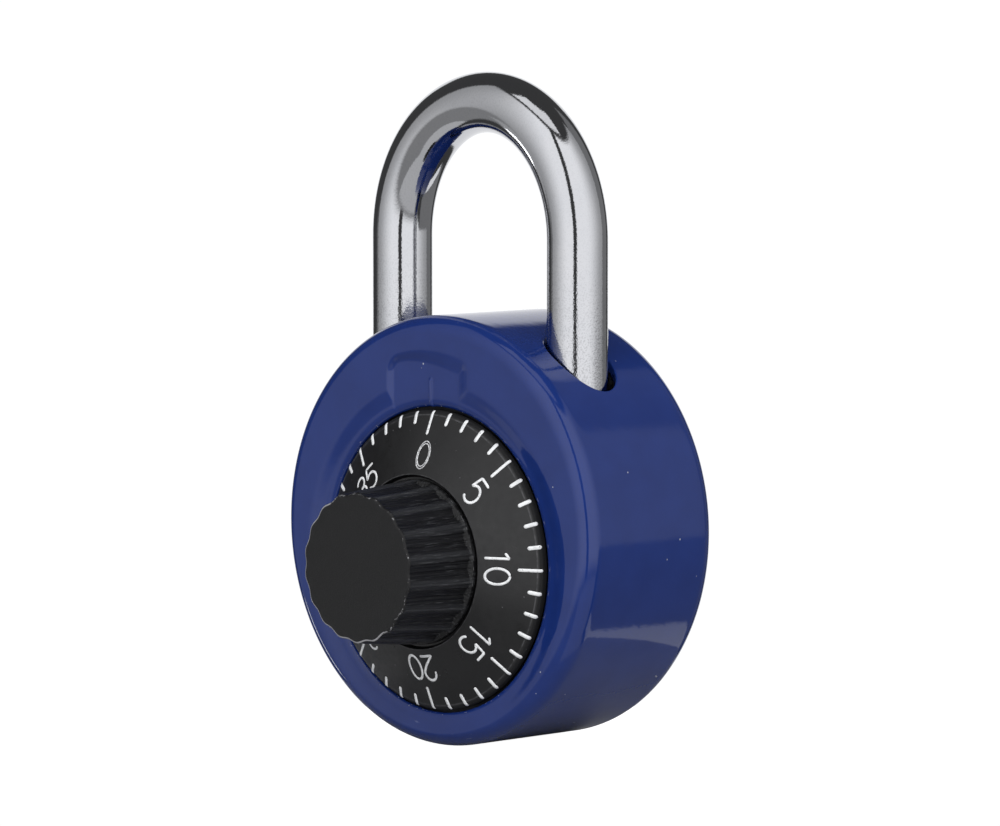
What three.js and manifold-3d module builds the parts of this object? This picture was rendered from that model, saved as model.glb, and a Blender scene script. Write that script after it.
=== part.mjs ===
// Round-bodied combination padlock, in millimetres, +Z up, dial facing -Y.
// The origin is the centre of the flat panel of the back cover, which is Y = 0.
// The case is a cylinder about the Y axis. The dial, its spindle and the discs turn about a
// parallel axis a little below it, and the shackle slides along Z in a plane inside the case.
// The lock is shown shut, with the dial at zero and the gates of all three discs under the fence.

import * as THREE from 'three';
import { mergeVertices } from 'three/addons/utils/BufferGeometryUtils.js';
import Module from 'manifold-3d';

const wasm = await Module();
wasm.setup();

// ---- Driving dimensions ----------------------------------------------------------------------

const GAP = 0.3; // clearance between pieces that touch on the real lock
const RUNNING = 0.15; // radial running clearance

const CASE_R = 24; // outer case radius
const SHEET = 1.1; // steel sheet of the outer case
const CASE_FRONT = -21;
const CASE_BACK = -0.25; // rolled rear edge
const FRONT_EDGE_R = 2;
const REAR_EDGE_R = 2.5;
const LIP_R = 20.9; // the rolled lip ends here, around the back cover's panel

const DIAL_Z = -3.18; // height of the dial axis below the case axis
const OPENING_R = 17.05; // dial opening in the front of the outer case
const RECESS_OUTER_R = 20.4; // a shallow pressed cone leads down to the opening
const RECESS_INNER_R = 17.8;
const RECESS_DEPTH = 0.45;
const TAB_X = -0.65; // the recess runs up into a tab, stamped a little left of centre
const TAB_HALF_WIDTH = 6.75;
const TAB_TOP_R = 20.3; // its top follows the round of the case
const INDEX_Z = 17.2; // upper end of the raised index mark, which starts at the opening
const INDEX_WIDTH = 0.35;

const DIAL_EDGE_R = 16.78;
const DIAL_EDGE_Y = -20.45;
const DIAL_CONE = 0.4266; // rise of the dial's conical face per millimetre of radius
const GROOVE_R = 9.72; // inner edge of the cone, around the knob's foot
const HUB_FRONT = -23.2;
const HUB_BACK = -22.4;
const KNOB_FOOT_R = 9.2;
const KNOB_FRONT_R = 8.34;
const KNOB_FRONT = -32.82;
const KNOB_FLUTES = 18;
const FLUTE_R = 13;
const FLUTE_DEPTH = 0.2;
const FLUTE_END = 0.45; // the flutes stop this far above the knob's foot
const SPINDLE_R = 1.6;
const SPINDLE_FRONT = -28.7; // the spindle is pressed into the knob this deep

const ROD_R = 3.4; // shackle rod radius
const LEG_X = 13.67; // half the distance between the shackle's legs
const SHACKLE_Y = -12.09; // plane of the shackle
const ARCH_START = 32.4; // the straight legs end here
const ARCH_RISE = 15.1; // rise of the arch's centre line above that
const TOE_END = 12; // lower end of the locking leg, on the left
const HEEL_END = -1; // lower end of the captive leg, on the right
const LEG_HOLE_R = 3.95;
const LEG_HOLE_X = 13.77; // the holes are set a little outwards and back from the legs
const LEG_HOLE_Y = -11.79;
const NOTCH_DEPTH = 1.2; // locking notch on the inner side of the toe leg
const COLLAR_BOTTOM = 0.5; // collar in its groove on the heel leg
const COLLAR_TOP = 1.7;

const INNER_R = 22.6; // inner case radius
const INNER_SHEET = 1;
const INNER_FRONT = -18.6;
const INNER_BACK = -5.1;

const DISC_R = 9;
const DISC_THICK = 1.2;
const DISC_POST_R = 1.9;
const FENCE_ANGLE = THREE.MathUtils.degToRad(19.2); // from straight up, towards the heel leg
const FENCE_SIZE = 1.6; // square bar
const FENCE_LIFT = 0.5; // the fence rests this far above the disc rims
const GATE_WIDTH = 2.4;
const GATE_DEPTH = 2.2;
const DISC_POST_FRONT = -14.3;
const POST_HEAD_FRONT = -3.8; // both posts are headed over behind the inner cover
const POST_HEAD = 0.7; // thickness of the heads

// Front faces of what is stacked along the dial's axis, from the front to the back.
const SPINDLE_WASHER_FRONT = -17.4;
const CAM_FRONT = -16.7;
const SPINDLE_HEAD_FRONT = -15.3;
const RETAINER_FRONT = -14.25;
const DISC_2_FRONT = -13.6;
const SPACER_FRONT = -12.2;
const DISC_1_FRONT = -11;
const DISC_SPRING_FRONT = -9.4;
const DISC_SPRING_BACK = -6.8;
const SPRING_SEAT_FRONT = -6.4;
const WASHER = 0.5; // thickness of the thin washers
const SPRING_WIRE = 0.25; // radius of the springs' wire

const LEVER_X = -2.5; // lever post, above the discs and a little towards the toe leg
const LEVER_Z = 10.6;
const LEVER_POST_R = 1.5;
const LEVER_HUB_R = 2.4;
const LATCH_SPRING_FRONT = -16.8;
const LATCH_SPRING_BACK = -13.7;
const PAWL_FRONT = -13.3;
const PAWL_BACK = -10.9;
const LEVER_SPACER_FRONT = -10.7;
const FENCE_FRONT = -16.9; // the bar's front end, past the combination cam
const FENCE_PLATE_FRONT = -10;
const FENCE_PLATE_BACK = -8.8;
const FENCE_SPRING_FRONT = -8.4;
const FENCE_SPRING_BACK = -5.6;
const LEVER_SPRING_R = 2.1;

// ---- Materials -------------------------------------------------------------------------------

function finish(color, roughness, metalness) {
  return new THREE.MeshStandardMaterial({ color, roughness, metalness });
}

const blueEnamel = () => finish(0x14307c, 0.2, 0.1);
const blackPaint = () => finish(0x0c0c0e, 0.4, 0);
const chrome = () => finish(0xc9ccd0, 0.12, 1);
const steel = () => finish(0x9a9da1, 0.4, 1);
const brass = () => finish(0xb5924a, 0.35, 1);

// ---- Solid helpers ---------------------------------------------------------------------------

const point = (x, y) => new THREE.Vector2(x, y);

// Points on a circular arc, with angles in degrees.
function arc(x, y, radius, from, to, steps) {
  const points = [];
  for (let i = 0; i <= steps; i += 1) {
    const angle = THREE.MathUtils.degToRad(from + ((to - from) * i) / steps);
    points.push(point(x + radius * Math.cos(angle), y + radius * Math.sin(angle)));
  }
  return points;
}

// A turned solid about the Y axis from a closed outline of (radius, y) points. An outline that
// reaches the axis starts with its point on the axis at the front and ends with the one at the back.
function turned(outline, segments = 24) {
  const hasBore = outline[0].x > 0;
  const profile = hasBore ? [...outline, outline[0].clone()] : outline;
  return new THREE.LatheGeometry(profile, segments);
}

// A ring or washer about the Y axis.
function ring(inner, outer, front, back, segments) {
  return turned([point(inner, front), point(outer, front), point(outer, back), point(inner, back)], segments);
}

const washer = (inner, outer, front) => ring(inner, outer, front, front + WASHER);

// A solid cylinder about the Y axis.
function pin(radius, front, back, segments) {
  return turned([point(0, front), point(radius, front), point(radius, back), point(0, back)], segments);
}

// A post riveted in the inner cover, with its head behind the cover.
function headedPost(radius, front, headR) {
  const headBack = POST_HEAD_FRONT + POST_HEAD;
  return turned([
    point(0, front),
    point(radius, front),
    point(radius, POST_HEAD_FRONT),
    point(headR, POST_HEAD_FRONT),
    point(headR, headBack),
    point(0, headBack),
  ]);
}

// A flat plate: an outline in X and Z, thick from y = front to y = back.
function plate(shape, front, back) {
  const geometry = new THREE.ExtrudeGeometry(shape, { depth: back - front, bevelEnabled: false });
  geometry.rotateX(Math.PI / 2);
  geometry.translate(0, back, 0);
  return geometry;
}

// A round rod along a curve.
function rodAlong(curve, radius, steps, sides) {
  const section = new THREE.Shape(arc(0, 0, radius, 0, 360, sides).slice(0, -1));
  return new THREE.ExtrudeGeometry(section, { steps, bevelEnabled: false, extrudePath: curve });
}

// A cylinder that stands along Z.
function upright(radius, bottom, top, x, y = SHACKLE_Y) {
  const geometry = new THREE.CylinderGeometry(radius, radius, top - bottom, 28);
  geometry.rotateX(Math.PI / 2);
  geometry.translate(x, y, (top + bottom) / 2);
  return geometry;
}

// A three.js geometry as a solid that can be cut and joined.
function toSolid(geometry) {
  const bare = geometry.clone();
  bare.deleteAttribute('normal');
  bare.deleteAttribute('uv');
  const merged = mergeVertices(bare, 1e-4);
  const corners = merged.index.array;
  const triangles = [];
  for (let i = 0; i < corners.length; i += 3) {
    const [a, b, c] = corners.subarray(i, i + 3);
    if (a !== b && b !== c && c !== a) triangles.push(a, b, c);
  }
  const vertProperties = new Float32Array(merged.attributes.position.array);
  const triVerts = new Uint32Array(triangles);
  return new wasm.Manifold(new wasm.Mesh({ numProp: 3, vertProperties, triVerts }));
}

function toGeometry(solid) {
  const mesh = solid.getMesh();
  const geometry = new THREE.BufferGeometry();
  geometry.setAttribute('position', new THREE.BufferAttribute(mesh.vertProperties, 3));
  geometry.setIndex(new THREE.BufferAttribute(mesh.triVerts, 1));
  return geometry;
}

function cut(base, ...tools) {
  return toGeometry(tools.reduce((solid, tool) => solid.subtract(toSolid(tool)), toSolid(base)));
}

function join(base, ...others) {
  return toGeometry(others.reduce((solid, other) => solid.add(toSolid(other)), toSolid(base)));
}

// ---- Case ------------------------------------------------------------------------------------

function legHoles() {
  return [-1, 1].map((side) => upright(LEG_HOLE_R, 5, CASE_R + 2, side * LEG_HOLE_X, LEG_HOLE_Y));
}

function spindleHole() {
  const hole = pin(SPINDLE_R + RUNNING, CASE_FRONT, INNER_FRONT + INNER_SHEET + 1);
  hole.translate(0, 0, DIAL_Z);
  return hole;
}

// The pressed recess: a shallow cone about the dial axis and a flat tab above it.
function recess() {
  const floor = CASE_FRONT + RECESS_DEPTH;
  const slope = (RECESS_OUTER_R - RECESS_INNER_R) / RECESS_DEPTH;
  const cone = turned([
    point(0, CASE_FRONT - 1),
    point(RECESS_OUTER_R + slope, CASE_FRONT - 1),
    point(RECESS_INNER_R, floor),
    point(0, floor),
  ], 52);
  cone.translate(0, 0, DIAL_Z);
  const left = TAB_X - TAB_HALF_WIDTH;
  const right = TAB_X + TAB_HALF_WIDTH;
  const from = THREE.MathUtils.radToDeg(Math.acos(right / TAB_TOP_R));
  const to = THREE.MathUtils.radToDeg(Math.acos(left / TAB_TOP_R));
  const top = arc(0, 0, TAB_TOP_R, from, to, 8);
  const tab = plate(new THREE.Shape([point(left, 0), point(right, 0), ...top]), CASE_FRONT - 1, floor);
  return join(cone, tab);
}

// Raised line on the tab that the dial is read against.
function indexMark() {
  const openingTop = DIAL_Z + OPENING_R;
  const height = INDEX_Z - openingTop;
  const mark = new THREE.BoxGeometry(INDEX_WIDTH, 0.4, height);
  mark.translate(TAB_X, CASE_FRONT + RECESS_DEPTH + 0.05, openingTop + height / 2);
  return mark;
}

// Drawn steel shell: flat front with the dial opening, straight wall and rolled rear lip.
function outerCase() {
  const wallR = CASE_R - SHEET;
  const backOfFront = CASE_FRONT + SHEET;
  const frontInnerR = FRONT_EDGE_R - SHEET;
  const rearInnerR = REAR_EDGE_R - SHEET;
  const rearCentre = CASE_BACK - REAR_EDGE_R;
  const shell = turned([
    point(0, CASE_FRONT),
    ...arc(CASE_R - FRONT_EDGE_R, CASE_FRONT + FRONT_EDGE_R, FRONT_EDGE_R, -90, 0, 4),
    ...arc(CASE_R - REAR_EDGE_R, rearCentre, REAR_EDGE_R, 0, 90, 4),
    point(LIP_R, CASE_BACK),
    point(LIP_R, CASE_BACK - SHEET),
    ...arc(CASE_R - REAR_EDGE_R, rearCentre, rearInnerR, 90, 0, 3),
    ...arc(wallR - frontInnerR, backOfFront + frontInnerR, frontInnerR, 0, -90, 3),
    point(0, backOfFront),
  ], 52);
  const opening = pin(OPENING_R, CASE_FRONT - 1, backOfFront + 1, 52);
  opening.translate(0, 0, DIAL_Z);
  return cut(join(cut(shell, recess()), indexMark()), opening, ...legHoles());
}

// The cover closes the back: a flange under the rolled lip and a raised flat panel.
function backCover() {
  const sheet = 1;
  const panelR = 19.1;
  const stepR = 20.4;
  const flangeR = 21.8;
  const flangeBack = CASE_BACK - SHEET - GAP;
  return turned([
    point(0, -sheet),
    point(panelR - sheet, -sheet),
    point(stepR - sheet, flangeBack - sheet),
    point(flangeR, flangeBack - sheet),
    point(flangeR, flangeBack),
    point(stepR, flangeBack),
    ...arc(panelR, -0.5, 0.5, 30, 90, 2),
    point(0, 0),
  ], 48);
}

// Cup that carries the works, open at the back, with a running hole for the spindle.
function innerCase() {
  const corner = 1;
  const wallR = INNER_R - INNER_SHEET;
  const floor = INNER_FRONT + INNER_SHEET;
  const cup = turned([
    point(0, INNER_FRONT),
    ...arc(INNER_R - corner, INNER_FRONT + corner, corner, -90, 0, 3),
    point(INNER_R, INNER_BACK),
    point(wallR, INNER_BACK),
    point(wallR, floor),
    point(0, floor),
  ], 48);
  return cut(cup, spindleHole(), ...legHoles());
}

// Flat plate across the back of the inner case. The disc post and the lever post are riveted in it.
function innerCaseCover() {
  const front = INNER_BACK + 0.2;
  const back = front + INNER_SHEET;
  const discHole = pin(DISC_POST_R + RUNNING, front - 1, back + 1);
  discHole.translate(0, 0, DIAL_Z);
  const leverHole = pin(LEVER_POST_R + RUNNING, front - 1, back + 1);
  leverHole.translate(LEVER_X, 0, LEVER_Z);
  return cut(pin(INNER_R, front, back, 48), discHole, leverHole);
}

// Hardened plate between the outer and inner cases, behind the dial opening.
function caseShield() {
  return cut(pin(21.5, CASE_FRONT + SHEET + GAP, INNER_FRONT - GAP, 48), spindleHole());
}

// ---- Dial, spindle and discs, about the dial's axis ---------------------------------------------

// Cupped dial: a flat hub under the knob, a conical face and a short skirt in the case opening.
function dial() {
  const coneY = (r) => DIAL_EDGE_Y - 0.43 - DIAL_CONE * (DIAL_EDGE_R - 0.28 - r);
  const skirt = CASE_FRONT + SHEET - 0.05;
  const bore = SPINDLE_R + RUNNING;
  return turned([
    point(bore, HUB_FRONT),
    point(GROOVE_R - 0.27, HUB_FRONT),
    point(GROOVE_R, coneY(GROOVE_R)),
    point(DIAL_EDGE_R - 0.28, coneY(DIAL_EDGE_R - 0.28)),
    point(DIAL_EDGE_R, DIAL_EDGE_Y),
    point(DIAL_EDGE_R, skirt),
    point(DIAL_EDGE_R - 0.9, skirt),
    point(DIAL_EDGE_R - 1.1, skirt - GAP),
    point(GROOVE_R + 0.2, HUB_BACK),
    point(bore, HUB_BACK),
  ], 48);
}

// Shallow flutes along the knob's tapered side, open at its front and ending above its foot.
function knobFlutes() {
  const length = HUB_FRONT - KNOB_FRONT;
  const taper = Math.atan2(KNOB_FOOT_R - KNOB_FRONT_R, length);
  const beyond = 1;
  return Array.from({ length: KNOB_FLUTES }, (_, i) => {
    const flute = new THREE.CylinderGeometry(FLUTE_R, FLUTE_R, length + beyond - FLUTE_END, 32);
    flute.translate(0, (length - beyond - FLUTE_END) / 2, FLUTE_R - FLUTE_DEPTH);
    flute.rotateX(taper);
    flute.translate(0, KNOB_FRONT, KNOB_FRONT_R);
    flute.rotateY((2 * Math.PI * (i + 0.5)) / KNOB_FLUTES);
    return flute;
  });
}

// Slightly tapered knob with fluted sides and a blind bore for the spindle.
function knob() {
  const foot = HUB_FRONT - 0.2;
  const bore = SPINDLE_R + RUNNING;
  const boreEnd = SPINDLE_FRONT - GAP;
  const blank = turned([
    point(0, KNOB_FRONT),
    point(KNOB_FRONT_R - 0.35, KNOB_FRONT),
    point(KNOB_FRONT_R, KNOB_FRONT + 0.35),
    point(KNOB_FOOT_R, foot),
    point(bore, foot),
    point(bore, boreEnd),
    point(0, boreEnd),
  ], 72);
  return cut(blank, ...knobFlutes());
}

// The spindle runs from the knob to the combination cam, behind which it is headed over.
function spindle() {
  const headBack = SPINDLE_HEAD_FRONT + 0.6;
  return turned([
    point(0, SPINDLE_FRONT),
    point(SPINDLE_R, SPINDLE_FRONT),
    point(SPINDLE_R, SPINDLE_HEAD_FRONT),
    point(SPINDLE_R + 1, SPINDLE_HEAD_FRONT),
    point(SPINDLE_R + 1, headBack),
    point(0, headBack),
  ]);
}

// A cupped spring washer gives the dial its drag.
function frictionWasher() {
  const sheet = 0.4;
  const innerR = 2.2;
  const outerR = 7.5;
  const innerFront = HUB_BACK + GAP;
  const outerFront = innerFront + 1.9;
  return turned([
    point(innerR, innerFront),
    point(outerR, outerFront),
    point(outerR, outerFront + sheet),
    point(innerR, innerFront + sheet),
  ]);
}

// A point at the fence's angle, at a distance from the dial's axis.
const towardsFence = (r) => point(r * Math.sin(FENCE_ANGLE), r * Math.cos(FENCE_ANGLE));

// A disc with its gate under the fence and one drive pin for each (angle in degrees, front, back).
function disc(front, bore, ...drivePins) {
  const pinAt = 6;
  const back = front + DISC_THICK;
  const gate = new THREE.BoxGeometry(GATE_WIDTH, DISC_THICK + 1, GATE_DEPTH * 2);
  const gateAt = towardsFence(DISC_R);
  gate.rotateY(FENCE_ANGLE);
  gate.translate(gateAt.x, (front + back) / 2, gateAt.y);
  const blank = cut(ring(bore, DISC_R, front, back, 40), gate);
  const pins = drivePins.map(([degrees, pinFront, pinBack]) => {
    const drivePin = pin(0.7, pinFront, pinBack, 12);
    const angle = THREE.MathUtils.degToRad(degrees);
    drivePin.translate(pinAt * Math.sin(angle), 0, pinAt * Math.cos(angle));
    return drivePin;
  });
  return join(blank, ...pins);
}

// The disc post is riveted in the inner cover, and its plain front end carries the two free discs.
function discPost() {
  return headedPost(DISC_POST_R, DISC_POST_FRONT, DISC_POST_R + 1.2);
}

// A coil about the Y axis with a straight leg at each end.
class Coil extends THREE.Curve {
  constructor(radius, front, back, turns, leg) {
    super();
    this.settings = { radius, front, back, turns, leg };
  }

  getPoint(t, target = new THREE.Vector3()) {
    const { radius, front, back, turns, leg } = this.settings;
    const coilLength = 2 * Math.PI * radius * turns;
    const along = t * (coilLength + 2 * leg) - leg;
    const onCoil = THREE.MathUtils.clamp(along / coilLength, 0, 1);
    const angle = 2 * Math.PI * turns * onCoil;
    const past = along - onCoil * coilLength;
    const x = radius * Math.cos(angle) - past * Math.sin(angle);
    const z = radius * Math.sin(angle) + past * Math.cos(angle);
    return target.set(x, front + (back - front) * onCoil, z);
  }
}

// Presses the free discs forward against the retainer.
function discSpring() {
  return rodAlong(new Coil(2.7, DISC_SPRING_FRONT, DISC_SPRING_BACK, 3, 0), SPRING_WIRE, 36, 5);
}

// ---- Lever post, fence and latch, about the lever post's axis -------------------------------------

function leverPost() {
  return headedPost(LEVER_POST_R, INNER_FRONT + INNER_SHEET + 0.2, LEVER_POST_R + 0.9);
}

const leverBore = (front, back) => pin(LEVER_POST_R + RUNNING, front - 1, back + 1);

// Closely wound spring about the lever post.
function leverSpring(front, back) {
  return rodAlong(new Coil(LEVER_SPRING_R, front, back, 3.25, 4), SPRING_WIRE, 48, 5);
}

// Plate lever with a square bar that reaches forward over the rims of all three discs.
function fenceLever() {
  const front = FENCE_PLATE_FRONT;
  const back = FENCE_PLATE_BACK;
  const at = towardsFence(DISC_R + FENCE_LIFT + FENCE_SIZE / 2);
  at.add(point(-LEVER_X, DIAL_Z - LEVER_Z));
  const arm = new THREE.Shape([
    point(-1.2, -2),
    point(1.2, 2.1),
    point(at.x + 1.2, at.y + 1.4),
    point(at.x + 0.9, at.y - 0.5),
    point(at.x - 0.6, at.y - 0.3),
  ]);
  const bar = new THREE.BoxGeometry(FENCE_SIZE, back - FENCE_FRONT, FENCE_SIZE);
  bar.rotateY(FENCE_ANGLE);
  bar.translate(at.x, (back + FENCE_FRONT) / 2, at.y);
  const blank = toSolid(pin(LEVER_HUB_R, front, back, 28)).add(toSolid(plate(arm, front, back)));
  return toGeometry(blank.add(toSolid(bar)).subtract(toSolid(leverBore(front, back))));
}

// Latch pawl: its nose stands in the notch of the toe leg until the rising shackle turns it out.
function latchPawl() {
  const front = PAWL_FRONT;
  const back = PAWL_BACK;
  const arm = new THREE.Shape([
    point(-1.1, 2),
    point(-7.1, 6),
    point(-8.7, 5.6),
    point(-8.7, 4.3),
    point(-7.4, 3.3),
    point(-2.1, -1.2),
  ]);
  const blank = toSolid(pin(LEVER_HUB_R, front, back, 28)).add(toSolid(plate(arm, front, back)));
  return toGeometry(blank.subtract(toSolid(leverBore(front, back))));
}

// ---- Shackle -----------------------------------------------------------------------------------

// Centre line from the heel leg's end, over the half-elliptical arch, to the toe leg's end.
class ShackleLine extends THREE.Curve {
  getPoint(t, target = new THREE.Vector3()) {
    const heel = ARCH_START - HEEL_END;
    const toe = ARCH_START - TOE_END;
    const archLength = Math.PI * Math.sqrt((LEG_X ** 2 + ARCH_RISE ** 2) / 2);
    const along = t * (heel + archLength + toe);
    if (along <= heel) return target.set(LEG_X, SHACKLE_Y, HEEL_END + along);
    if (along >= heel + archLength) {
      return target.set(-LEG_X, SHACKLE_Y, ARCH_START - (along - heel - archLength));
    }
    const angle = (Math.PI * (along - heel)) / archLength;
    return target.set(LEG_X * Math.cos(angle), SHACKLE_Y, ARCH_START + ARCH_RISE * Math.sin(angle));
  }
}

// Bent rod with a locking notch on the inner side of the toe leg and a collar groove on the heel leg.
function shackle() {
  const face = ROD_R - LEG_X;
  const floor = face - NOTCH_DEPTH;
  const notch = plate(new THREE.Shape([
    point(face + 0.2, 12.6),
    point(face + 0.2, 17.8),
    point(floor, 17.2),
    point(floor, 15),
  ]), SHACKLE_Y - ROD_R - 1, SHACKLE_Y + ROD_R + 1);
  const grooveBottom = COLLAR_BOTTOM - RUNNING;
  const grooveTop = COLLAR_TOP + RUNNING;
  const core = toSolid(upright(ROD_R - 0.6, grooveBottom - 1, grooveTop + 1, LEG_X));
  const groove = toSolid(upright(ROD_R + 1, grooveBottom, grooveTop, LEG_X)).subtract(core);
  const bar = toSolid(rodAlong(new ShackleLine(), ROD_R, 46, 16));
  return toGeometry(bar.subtract(toSolid(notch)).subtract(groove));
}

// Split ring in the heel leg's groove, which meets the case wall when the shackle is fully raised.
function shackleCollar() {
  const outer = upright(4.2, COLLAR_BOTTOM, COLLAR_TOP, LEG_X);
  const bore = upright(ROD_R - 0.6 + RUNNING, COLLAR_BOTTOM - 1, COLLAR_TOP + 1, LEG_X);
  const split = new THREE.BoxGeometry(4, 5, 4);
  split.translate(LEG_X, SHACKLE_Y + 4.5, COLLAR_TOP);
  return cut(outer, bore, split);
}

// ---- Assembly ------------------------------------------------------------------------------------

const padlock = new THREE.Group();
const dialAxis = new THREE.Group();
dialAxis.position.z = DIAL_Z;
const leverAxis = new THREE.Group();
leverAxis.position.set(LEVER_X, 0, LEVER_Z);
padlock.add(dialAxis, leverAxis);

function place(parent, name, geometry, material) {
  const mesh = new THREE.Mesh(geometry, material);
  mesh.name = name;
  parent.add(mesh);
}

const spindleBore = SPINDLE_R + RUNNING;
const postBore = DISC_POST_R + RUNNING;
const leverPostBore = LEVER_POST_R + RUNNING;

place(padlock, 'outer_case', outerCase(), blueEnamel());
place(padlock, 'back_cover', backCover(), blueEnamel());
place(padlock, 'case_shield', caseShield(), steel());
place(padlock, 'inner_case', innerCase(), steel());
place(padlock, 'inner_case_cover', innerCaseCover(), steel());
place(padlock, 'shackle', shackle(), chrome());
place(padlock, 'shackle_collar', shackleCollar(), steel());

place(dialAxis, 'dial', dial(), blackPaint());
place(dialAxis, 'knob', knob(), blackPaint());
place(dialAxis, 'dial_spindle', spindle(), steel());
place(dialAxis, 'dial_friction_washer', frictionWasher(), steel());
place(dialAxis, 'spindle_washer', washer(spindleBore, 4, SPINDLE_WASHER_FRONT), brass());
place(dialAxis, 'combination_cam', disc(CAM_FRONT, spindleBore, [-120, -16, -14.1]), steel());
place(dialAxis, 'disc_retainer', ring(postBore, 3, RETAINER_FRONT, RETAINER_FRONT + 0.45), steel());
place(dialAxis, 'disc_2', disc(DISC_2_FRONT, postBore, [-103, -14.9, -13], [100, -13, -11.6]), brass());
place(dialAxis, 'disc_spacer', ring(postBore, 4, SPACER_FRONT, SPACER_FRONT + 1), brass());
place(dialAxis, 'disc_1', disc(DISC_1_FRONT, postBore, [117, -12, -10.5]), brass());
place(dialAxis, 'disc_spring', discSpring(), steel());
place(dialAxis, 'spring_seat_washer', washer(postBore, 4, SPRING_SEAT_FRONT), steel());
place(dialAxis, 'disc_post', discPost(), steel());

place(leverAxis, 'lever_post', leverPost(), steel());
place(leverAxis, 'latch_spring', leverSpring(LATCH_SPRING_FRONT, LATCH_SPRING_BACK), steel());
place(leverAxis, 'latch_pawl', latchPawl(), steel());
place(leverAxis, 'lever_spacer', washer(leverPostBore, LEVER_HUB_R, LEVER_SPACER_FRONT), brass());
place(leverAxis, 'fence_lever', fenceLever(), steel());
place(leverAxis, 'fence_spring', leverSpring(FENCE_SPRING_FRONT, FENCE_SPRING_BACK), steel());

export default padlock;
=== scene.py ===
"""Looks of the round combination padlock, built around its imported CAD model.

Lengths here are in millimetres, and become metres as meshes and objects are made. X is to the
right, Z is up and the dial faces -Y. The case is round about the Y axis, and the dial about a
parallel axis a little below it.
"""

import math

import bmesh
import bpy
import numpy as np
from mathutils import Matrix, Vector


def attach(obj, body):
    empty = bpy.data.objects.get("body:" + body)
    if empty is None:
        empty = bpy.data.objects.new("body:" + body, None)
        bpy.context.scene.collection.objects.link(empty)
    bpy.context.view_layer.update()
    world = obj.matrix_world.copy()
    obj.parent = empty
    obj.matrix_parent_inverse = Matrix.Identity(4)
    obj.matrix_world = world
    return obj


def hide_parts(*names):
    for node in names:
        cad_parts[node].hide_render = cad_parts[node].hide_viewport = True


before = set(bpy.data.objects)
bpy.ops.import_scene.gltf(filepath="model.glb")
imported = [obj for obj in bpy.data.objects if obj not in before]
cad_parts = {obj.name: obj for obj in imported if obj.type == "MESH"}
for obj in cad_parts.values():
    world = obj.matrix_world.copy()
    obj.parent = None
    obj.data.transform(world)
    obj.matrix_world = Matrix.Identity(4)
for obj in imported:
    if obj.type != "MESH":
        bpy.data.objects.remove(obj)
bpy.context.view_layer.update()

MM = 0.001

# ---- Dimensions ------------------------------------------------------------------------------
# Sizes of the CAD model, and of the finer forms that the skins here add to it.

CASE_R = 24.0
SHEET = 1.1
CASE_FRONT = -21.0
CASE_BACK = -0.25
FRONT_EDGE_R = 2.0
REAR_EDGE_R = 2.5
LIP_R = 20.9
COVER_SHEET = 1.0
COVER_GAP = 0.3  # between the lip and the cover's flange
PANEL_R = 19.35
FLANGE_R = 21.8

DIAL_Z = -3.18
OPENING_R = 17.05
RECESS_OUTER_R = 20.4
RECESS_INNER_R = 17.8
RECESS_DEPTH = 0.45
ROLL_WIDTH = 1.1  # the opening's edge is rolled over this far out from its wall
ROLL_DEPTH = 0.5
UPPER_FRONT_Z = 5.0  # the tab and the index line are above this
TAB_DEPTH = 0.46
TAB_X = -0.65
TAB_HALF_WIDTH = 6.75
TAB_TOP_R = 20.45
TAB_CORNER_R = 1.8
TAB_SLOPE_LEFT = 1.0  # width of the tab's sloping wall at its left end
TAB_SLOPE_RIGHT = 3.0
PRESS_BLEND = 0.1  # softens the line where the ring and the tab meet
INDEX_Z = 17.2
INDEX_FADE = 0.5
INDEX_HALF_WIDTH = 0.17
INDEX_RISE = 0.28

DIAL_EDGE_R = 16.78
DIAL_EDGE_Y = -20.45
DIAL_CONE = 0.4266
GROOVE_R = 9.72
HUB_FRONT = -23.2
HUB_BACK = -22.4
KNOB_FOOT_R = 9.2
KNOB_FRONT_R = 8.34
KNOB_FRONT = -32.82
KNOB_BACK = -23.4
KNOB_EDGE_R = 0.28
SCALLOPS = 18
BORE_R = 1.75
KNOB_BORE_END = -29.0

ROD_R = 3.4
LEG_X = 13.67
SHACKLE_Y = -12.09
ARCH_START = 32.4
ARCH_RISE = 15.1
TOE_END = 12.0
HEEL_END = -1.0
LEG_HOLE_R = 3.95
LEG_HOLE_X = 13.77
LEG_HOLE_Y = -11.79
LEG_HOLE_RIM = 0.22
NOTCH_DEPTH = 1.2
NOTCH_Z = (12.6, 15.0, 17.2, 17.8)  # where the notch starts, gets its depth, leaves it and ends
TOE_EDGE_R = 0.8
COLLAR_GROOVE = (0.35, 1.85)
COLLAR_GROOVE_R = 2.8

# ---- Mesh helpers ----------------------------------------------------------------------------


def placed(name, data):
    """A new object in the scene, made of that data."""
    made = bpy.data.objects.new(name, data)
    bpy.context.scene.collection.objects.link(made)
    return made


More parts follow.
